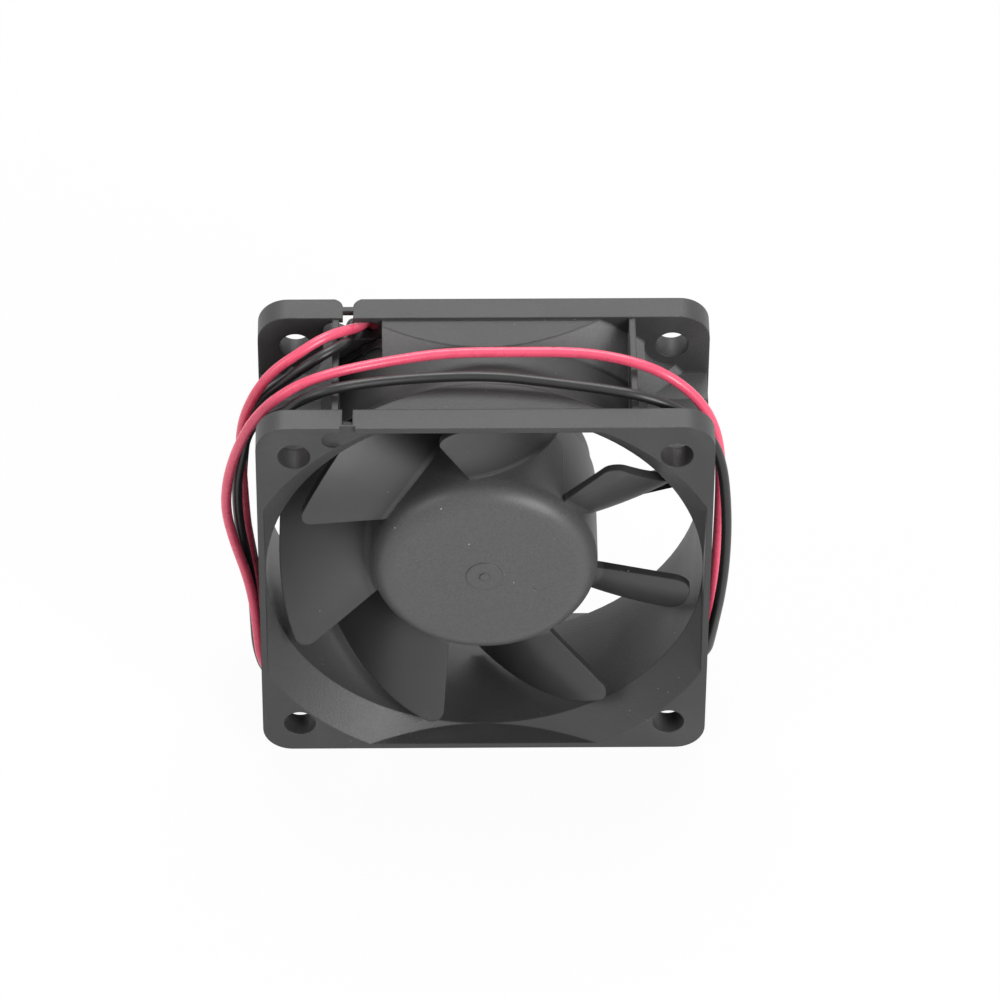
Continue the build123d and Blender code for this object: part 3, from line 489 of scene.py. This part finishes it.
# The leads' routes from the slot to the stripped ends, in millimetres: right, back and up.
RED_ROUTE = [
    (-16.2, 9.9, 57.75),
    (-16.8, 8.9, 58.1),
    (-18.9, 5.1, 61.0),
    (-21.5, 3.1, 61.5),
    (-24.7, 1.4, 60.3),
    (-27.5, 0.8, 58.3),
    (-29.6, 0.4, 55.6),
    (-31.2, 0.6, 51.8),
    (-32.2, 1.2, 47.5),
    (-32.45, 1.9, 42.5),
    (-32.3, 2.6, 36.0),
    (-32.15, 3.5, 29.5),
    (-31.8, 4.4, 23.2),
    (-31.3, 5.1, 17.4),
    (-31.1, 5.7, 13.0),
    (-30.6, 6.0, 9.2),
    (-29.2, 5.9, 5.8),
    (-28.0, 4.0, 3.2),
    (-27.5, 1.0, 2.2),
    (-27.8, -2.1, 3.2),
    (-28.9, -4.0, 5.8),
    (-30.4, -3.8, 9.1),
    (-30.7, -2.7, 12.7),
    (-31.1, -1.1, 16.5),
    (-32.0, 0.1, 20.9),
    (-33.6, 0.0, 27.4),
    (-34.6, -0.4, 33.4),
    (-34.3, -1.1, 39.3),
    (-33.3, -1.9, 44.6),
    (-32.1, -2.9, 49.0),
    (-30.5, -3.6, 53.2),
    (-28.0, -4.1, 57.0),
    (-24.4, -4.0, 60.0),
    (-19.6, -3.0, 61.3),
    (-13.5, -1.0, 61.1),
    (-5.5, 0.6, 61.3),
    (4.3, 0.9, 61.1),
    (13.0, 0.6, 61.3),
    (19.6, -1.1, 61.2),
    (24.2, -2.2, 59.6),
    (27.8, -2.6, 56.2),
    (30.1, -3.0, 52.2),
    (31.2, -3.4, 47.2),
    (31.4, -3.4, 40.5),
    (31.4, -3.1, 33.0),
    (31.3, -2.4, 25.4),
    (31.1, -1.6, 18.6),
    (30.9, -0.6, 13.0),
    (30.6, 0.4, 9.0),
    (29.0, 1.6, 6.2),
    (26.6, 2.8, 4.8),
]
BLACK_ROUTE = [
    (-17.75, 9.9, 57.03),
    (-18.03, 8.9, 57.02),
    (-18.15, 6.4, 57.95),
    (-18.35, 3.3, 60.55),
    (-21.0, 0.8, 61.0),
    (-24.1, -0.1, 59.1),
    (-26.8, 0.6, 56.0),
    (-29.3, 1.7, 52.8),
    (-30.9, 2.5, 49.8),
    (-31.5, 3.3, 45.8),
    (-32.1, 4.1, 40.5),
    (-32.5, 4.9, 34.5),
    (-32.4, 5.7, 28.5),
    (-31.9, 6.5, 22.5),
    (-31.3, 7.2, 16.8),
    (-31.1, 7.8, 12.6),
    (-30.8, 7.9, 9.0),
    (-30.2, 7.7, 5.7),
    (-29.7, 5.8, 3.1),
    (-29.4, 2.8, 2.2),
    (-29.5, -0.2, 3.1),
    (-30.1, -2.1, 5.7),
    (-30.9, -1.7, 9.2),
    (-31.1, -0.3, 12.6),
    (-31.3, 1.3, 16.2),
    (-32.0, 1.8, 22.5),
    (-32.8, 1.3, 28.4),
    (-33.1, 1.0, 34.0),
    (-32.9, 0.2, 39.4),
    (-32.1, -0.5, 44.2),
    (-31.4, -1.2, 48.6),
    (-29.5, -2.0, 52.4),
    (-26.4, -4.0, 55.4),
    (-23.9, -5.6, 58.8),
    (-20.3, -6.1, 61.1),
    (-15.0, -4.9, 61.2),
    (-7.8, -3.9, 61.1),
    (0.8, -3.8, 61.3),
    (9.0, -5.0, 61.1),
    (15.6, -6.5, 61.3),
    (20.2, -7.2, 60.8),
    (24.4, -6.8, 58.6),
    (27.8, -6.6, 55.3),
    (30.2, -6.6, 51.6),
    (31.4, -6.5, 47.0),
    (32.0, -6.5, 41.5),
    (32.3, -6.5, 35.0),
    (32.2, -6.2, 28.0),
    (31.8, -5.6, 22.0),
    (31.3, -4.7, 17.0),
    (30.9, -3.7, 12.6),
    (30.5, -2.7, 8.8),
    (28.7, -1.8, 5.9),
    (26.0, -1.1, 4.2),
]


def lead_curve(name, route, material):
    """Smooth wire along the route, whose points steer one open NURBS curve."""
    data = bpy.data.curves.new(name, "CURVE")
    data.dimensions = "3D"
    data.bevel_depth = LEAD_DIAMETER / 2
    data.bevel_resolution = 4
    data.resolution_u = 8
    data.use_fill_caps = True
    spline = data.splines.new("NURBS")
    spline.points.add(len(route) - 1)
    corners = np.column_stack([np.array(route) / 1000, np.ones(len(route))])
    spline.points.foreach_set("co", corners.ravel())
    spline.order_u = 3
    spline.use_endpoint_u = True
    data.materials.append(material)
    curve = bpy.data.objects.new(name, data)
    bpy.context.scene.collection.objects.link(curve)
    return curve


red_insulation = insulation("red_insulation", (1.0, 0.105, 0.195), 0.28)
black_insulation = insulation("black_insulation", (0.016, 0.016, 0.017), 0.36)
finish(red_insulation, "red_lead_tail")
finish(black_insulation, "black_lead_tail")
red_wire = lead_curve("red_wire", RED_ROUTE, red_insulation)
black_wire = lead_curve("black_wire", BLACK_ROUTE, black_insulation)


BARE_LENGTH = 0.005
STRAND_PITCH = 0.006
MIDDLE_RADIUS, STRAND_RELIEF = 0.00026, 0.00008
TIP_START = 0.94
STRAND_ROWS, STRAND_COLUMNS = 64, 60


def twisted_strands(name, route, material):
    """Stripped end: six strands twisted round a seventh and tinned together.

    Past the route's end, in line with its last run, the radius is 0.26 mm plus 0.08 mm times a
    wave from -0.5 to 0.5 that repeats six times round the wire, turns once every 6 mm and is half
    as high at the far end. The last 6% of the length closes in a round tip."""
    before, last = (np.array(point) / 1000 for point in route[-2:])
    along = (last - before) / np.linalg.norm(last - before)
    side = np.cross(along, (0.0, 0.0, 1.0))
    side /= np.linalg.norm(side)
    other = np.cross(along, side)
    share = np.linspace(0.0, 1.0, STRAND_ROWS)[:, None]
    turned = np.linspace(0.0, 2 * math.pi, STRAND_COLUMNS, endpoint=False)[None, :]
    distance = BARE_LENGTH * share
    wave = np.abs(np.cos(3 * (turned - 2 * math.pi * distance / STRAND_PITCH))) - 0.5
    closing = np.sqrt(1 - np.clip((share - TIP_START) / (1 - TIP_START), 0, 1) ** 2)
    radius = (MIDDLE_RADIUS + STRAND_RELIEF * wave * (1 - 0.5 * share)) * closing
    points = (
        last
        + distance[..., None] * along
        + (radius * np.cos(turned))[..., None] * side
        + (radius * np.sin(turned))[..., None] * other
    ).reshape(-1, 3)
    numbers = np.arange(STRAND_ROWS * STRAND_COLUMNS).reshape(STRAND_ROWS, STRAND_COLUMNS)
    following = np.roll(numbers, -1, axis=1)
    sides = np.stack([numbers[:-1], numbers[1:], following[1:], following[:-1]], axis=-1).reshape(-1, 4)
    mesh = bpy.data.meshes.new(name)
    mesh.from_pydata(points.tolist(), [], sides.tolist() + [numbers[0].tolist()])
    mesh.shade_smooth()
    mesh.materials.append(material)
    strands = bpy.data.objects.new(name, mesh)
    bpy.context.scene.collection.objects.link(strands)
    return strands


tinned = metal("tinned_strands", (0.74, 0.73, 0.71), 0.25, 0.6)
for wire, node, length, route in (
    (red_wire, "red_lead", 0.2520, RED_ROUTE),
    (black_wire, "black_lead", 0.2500, BLACK_ROUTE),
):
    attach(wire, "housing")
    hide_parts(node)
    strands = twisted_strands(f"{node}_strands", route, tinned)
    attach(strands, "housing")
    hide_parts(f"{node}_end")


# Table: a plain pale sheet under the fan, near white to the camera, that keeps a faint shadow.
# It is only what the fan stands on, and no part of it.
TABLE_SIDE, TABLE_HEIGHT = 3.0, -0.00002
TABLE_COLOUR = (0.86, 0.86, 0.86)
TABLE_WHITENESS = 0.95


def table_sheet():
    """Flat square on which the fan stands, just under its lower edge."""
    corners = np.array([[-1, -1], [1, -1], [1, 1], [-1, 1]]) * TABLE_SIDE / 2
    points = np.column_stack([corners, np.full(4, TABLE_HEIGHT)])
    mesh = bpy.data.meshes.new("table")
    mesh.from_pydata(points.tolist(), [], [(0, 1, 2, 3)])
    table = bpy.data.objects.new("table", mesh)
    bpy.context.scene.collection.objects.link(table)
    return table


def shown_white(start):
    """1 where the camera, a mirror reflection or a view through glass looks at the white, else 0."""
    camera_ray, mirrored, through = (start.make("LightPath", output=ray) for ray in (0, 3, 6))
    return camera_ray.maths("MAXIMUM", camera_ray, mirrored.maths("MAXIMUM", mirrored, through))


table = table_sheet()
table_white, start = new_material("table_white")
seen = shown_white(start)
paper = start.make("BsdfDiffuse", Color=TABLE_COLOUR)
bright = start.make("Emission", Color=(1.0, 1.0, 1.0), Strength=1.0)
close_material(start, start.make("MixShader", n0=seen * TABLE_WHITENESS, n1=paper, n2=bright))
table.data.materials.append(table_white)


# Light: wide soft lamps above and behind, at the right in front and weakly at the left, and a white
# room that is seen and mirrored at full strength but gives little light, so hollows stay dark.
FAN_CENTRE = (0.0, 0.0, FAN_CENTRE_HEIGHT)
AMBIENT = 0.2


def wide_lamp(name, place, side, power):
    """Square lamp that faces the middle of the fan; its side in metres and its power in watts."""
    lamp = bpy.data.lights.new(name, "AREA")
    lamp.shape = "SQUARE"
    lamp.size = side
    lamp.energy = power
    holder = bpy.data.objects.new(name, lamp)
    holder.location = place
    away = holder.location - Vector(FAN_CENTRE)
    holder.rotation_euler = away.to_track_quat("Z", "Y").to_euler()
    bpy.context.scene.collection.objects.link(holder)


room = bpy.data.worlds.new("room")
bpy.context.scene.world = room
room.use_nodes = True
room.node_tree.nodes.clear()
start = Signal(room.node_tree)
white = shown_white(start)
ambient = start.make("Background", Color=(1.0, 1.0, 1.0), Strength=white * (1 - AMBIENT) + AMBIENT)
start.make("OutputWorld", Surface=ambient)
wide_lamp("lamp_above", (0.0, 0.45, 0.90), 0.6, 6.8)
wide_lamp("lamp_right", (0.60, -0.70, 0.45), 0.5, 8.2)
wide_lamp("lamp_left", (-0.75, -0.35, 0.60), 0.5, 2.4)


# Camera: a long lens that looks down on the intake side at about 44 degrees. Its place, turn and
# shift come from where the photograph shows the fan's corners, screw holes and duct.
FOCAL_PIXELS = 6495.6
CENTRE_PIXEL = (483.77, 526.35)
IMAGE_SIDE = 1000.0
AZIMUTH, ELEVATION, ROLL = (math.radians(angle) for angle in (-0.817, 44.365, 0.303))
DISTANCE = 0.8734
back = np.array([
    math.sin(AZIMUTH) * math.cos(ELEVATION),
    -math.cos(AZIMUTH) * math.cos(ELEVATION),
    math.sin(ELEVATION),
])
level_right = np.array([math.cos(AZIMUTH), math.sin(AZIMUTH), 0.0])
level_up = np.cross(back, level_right)
right = math.cos(ROLL) * level_right + math.sin(ROLL) * level_up
up = math.cos(ROLL) * level_up - math.sin(ROLL) * level_right
view = bpy.data.cameras.new("camera")
view.sensor_width = 36.0
view.lens = FOCAL_PIXELS * view.sensor_width / IMAGE_SIDE
view.shift_x = (IMAGE_SIDE / 2 - CENTRE_PIXEL[0]) / IMAGE_SIDE
view.shift_y = (CENTRE_PIXEL[1] - IMAGE_SIDE / 2) / IMAGE_SIDE
view.clip_start = 0.01
view.clip_end = 20.0
camera = bpy.data.objects.new("camera", view)
bpy.context.scene.collection.objects.link(camera)
placing = np.eye(4)
placing[:3, 0], placing[:3, 1], placing[:3, 2] = right, up, back
placing[:3, 3] = np.array(FAN_CENTRE) + DISTANCE * back
camera.matrix_world = Matrix(placing.tolist())
bpy.context.scene.camera = camera
bpy.context.scene.view_settings.view_transform = "Standard"
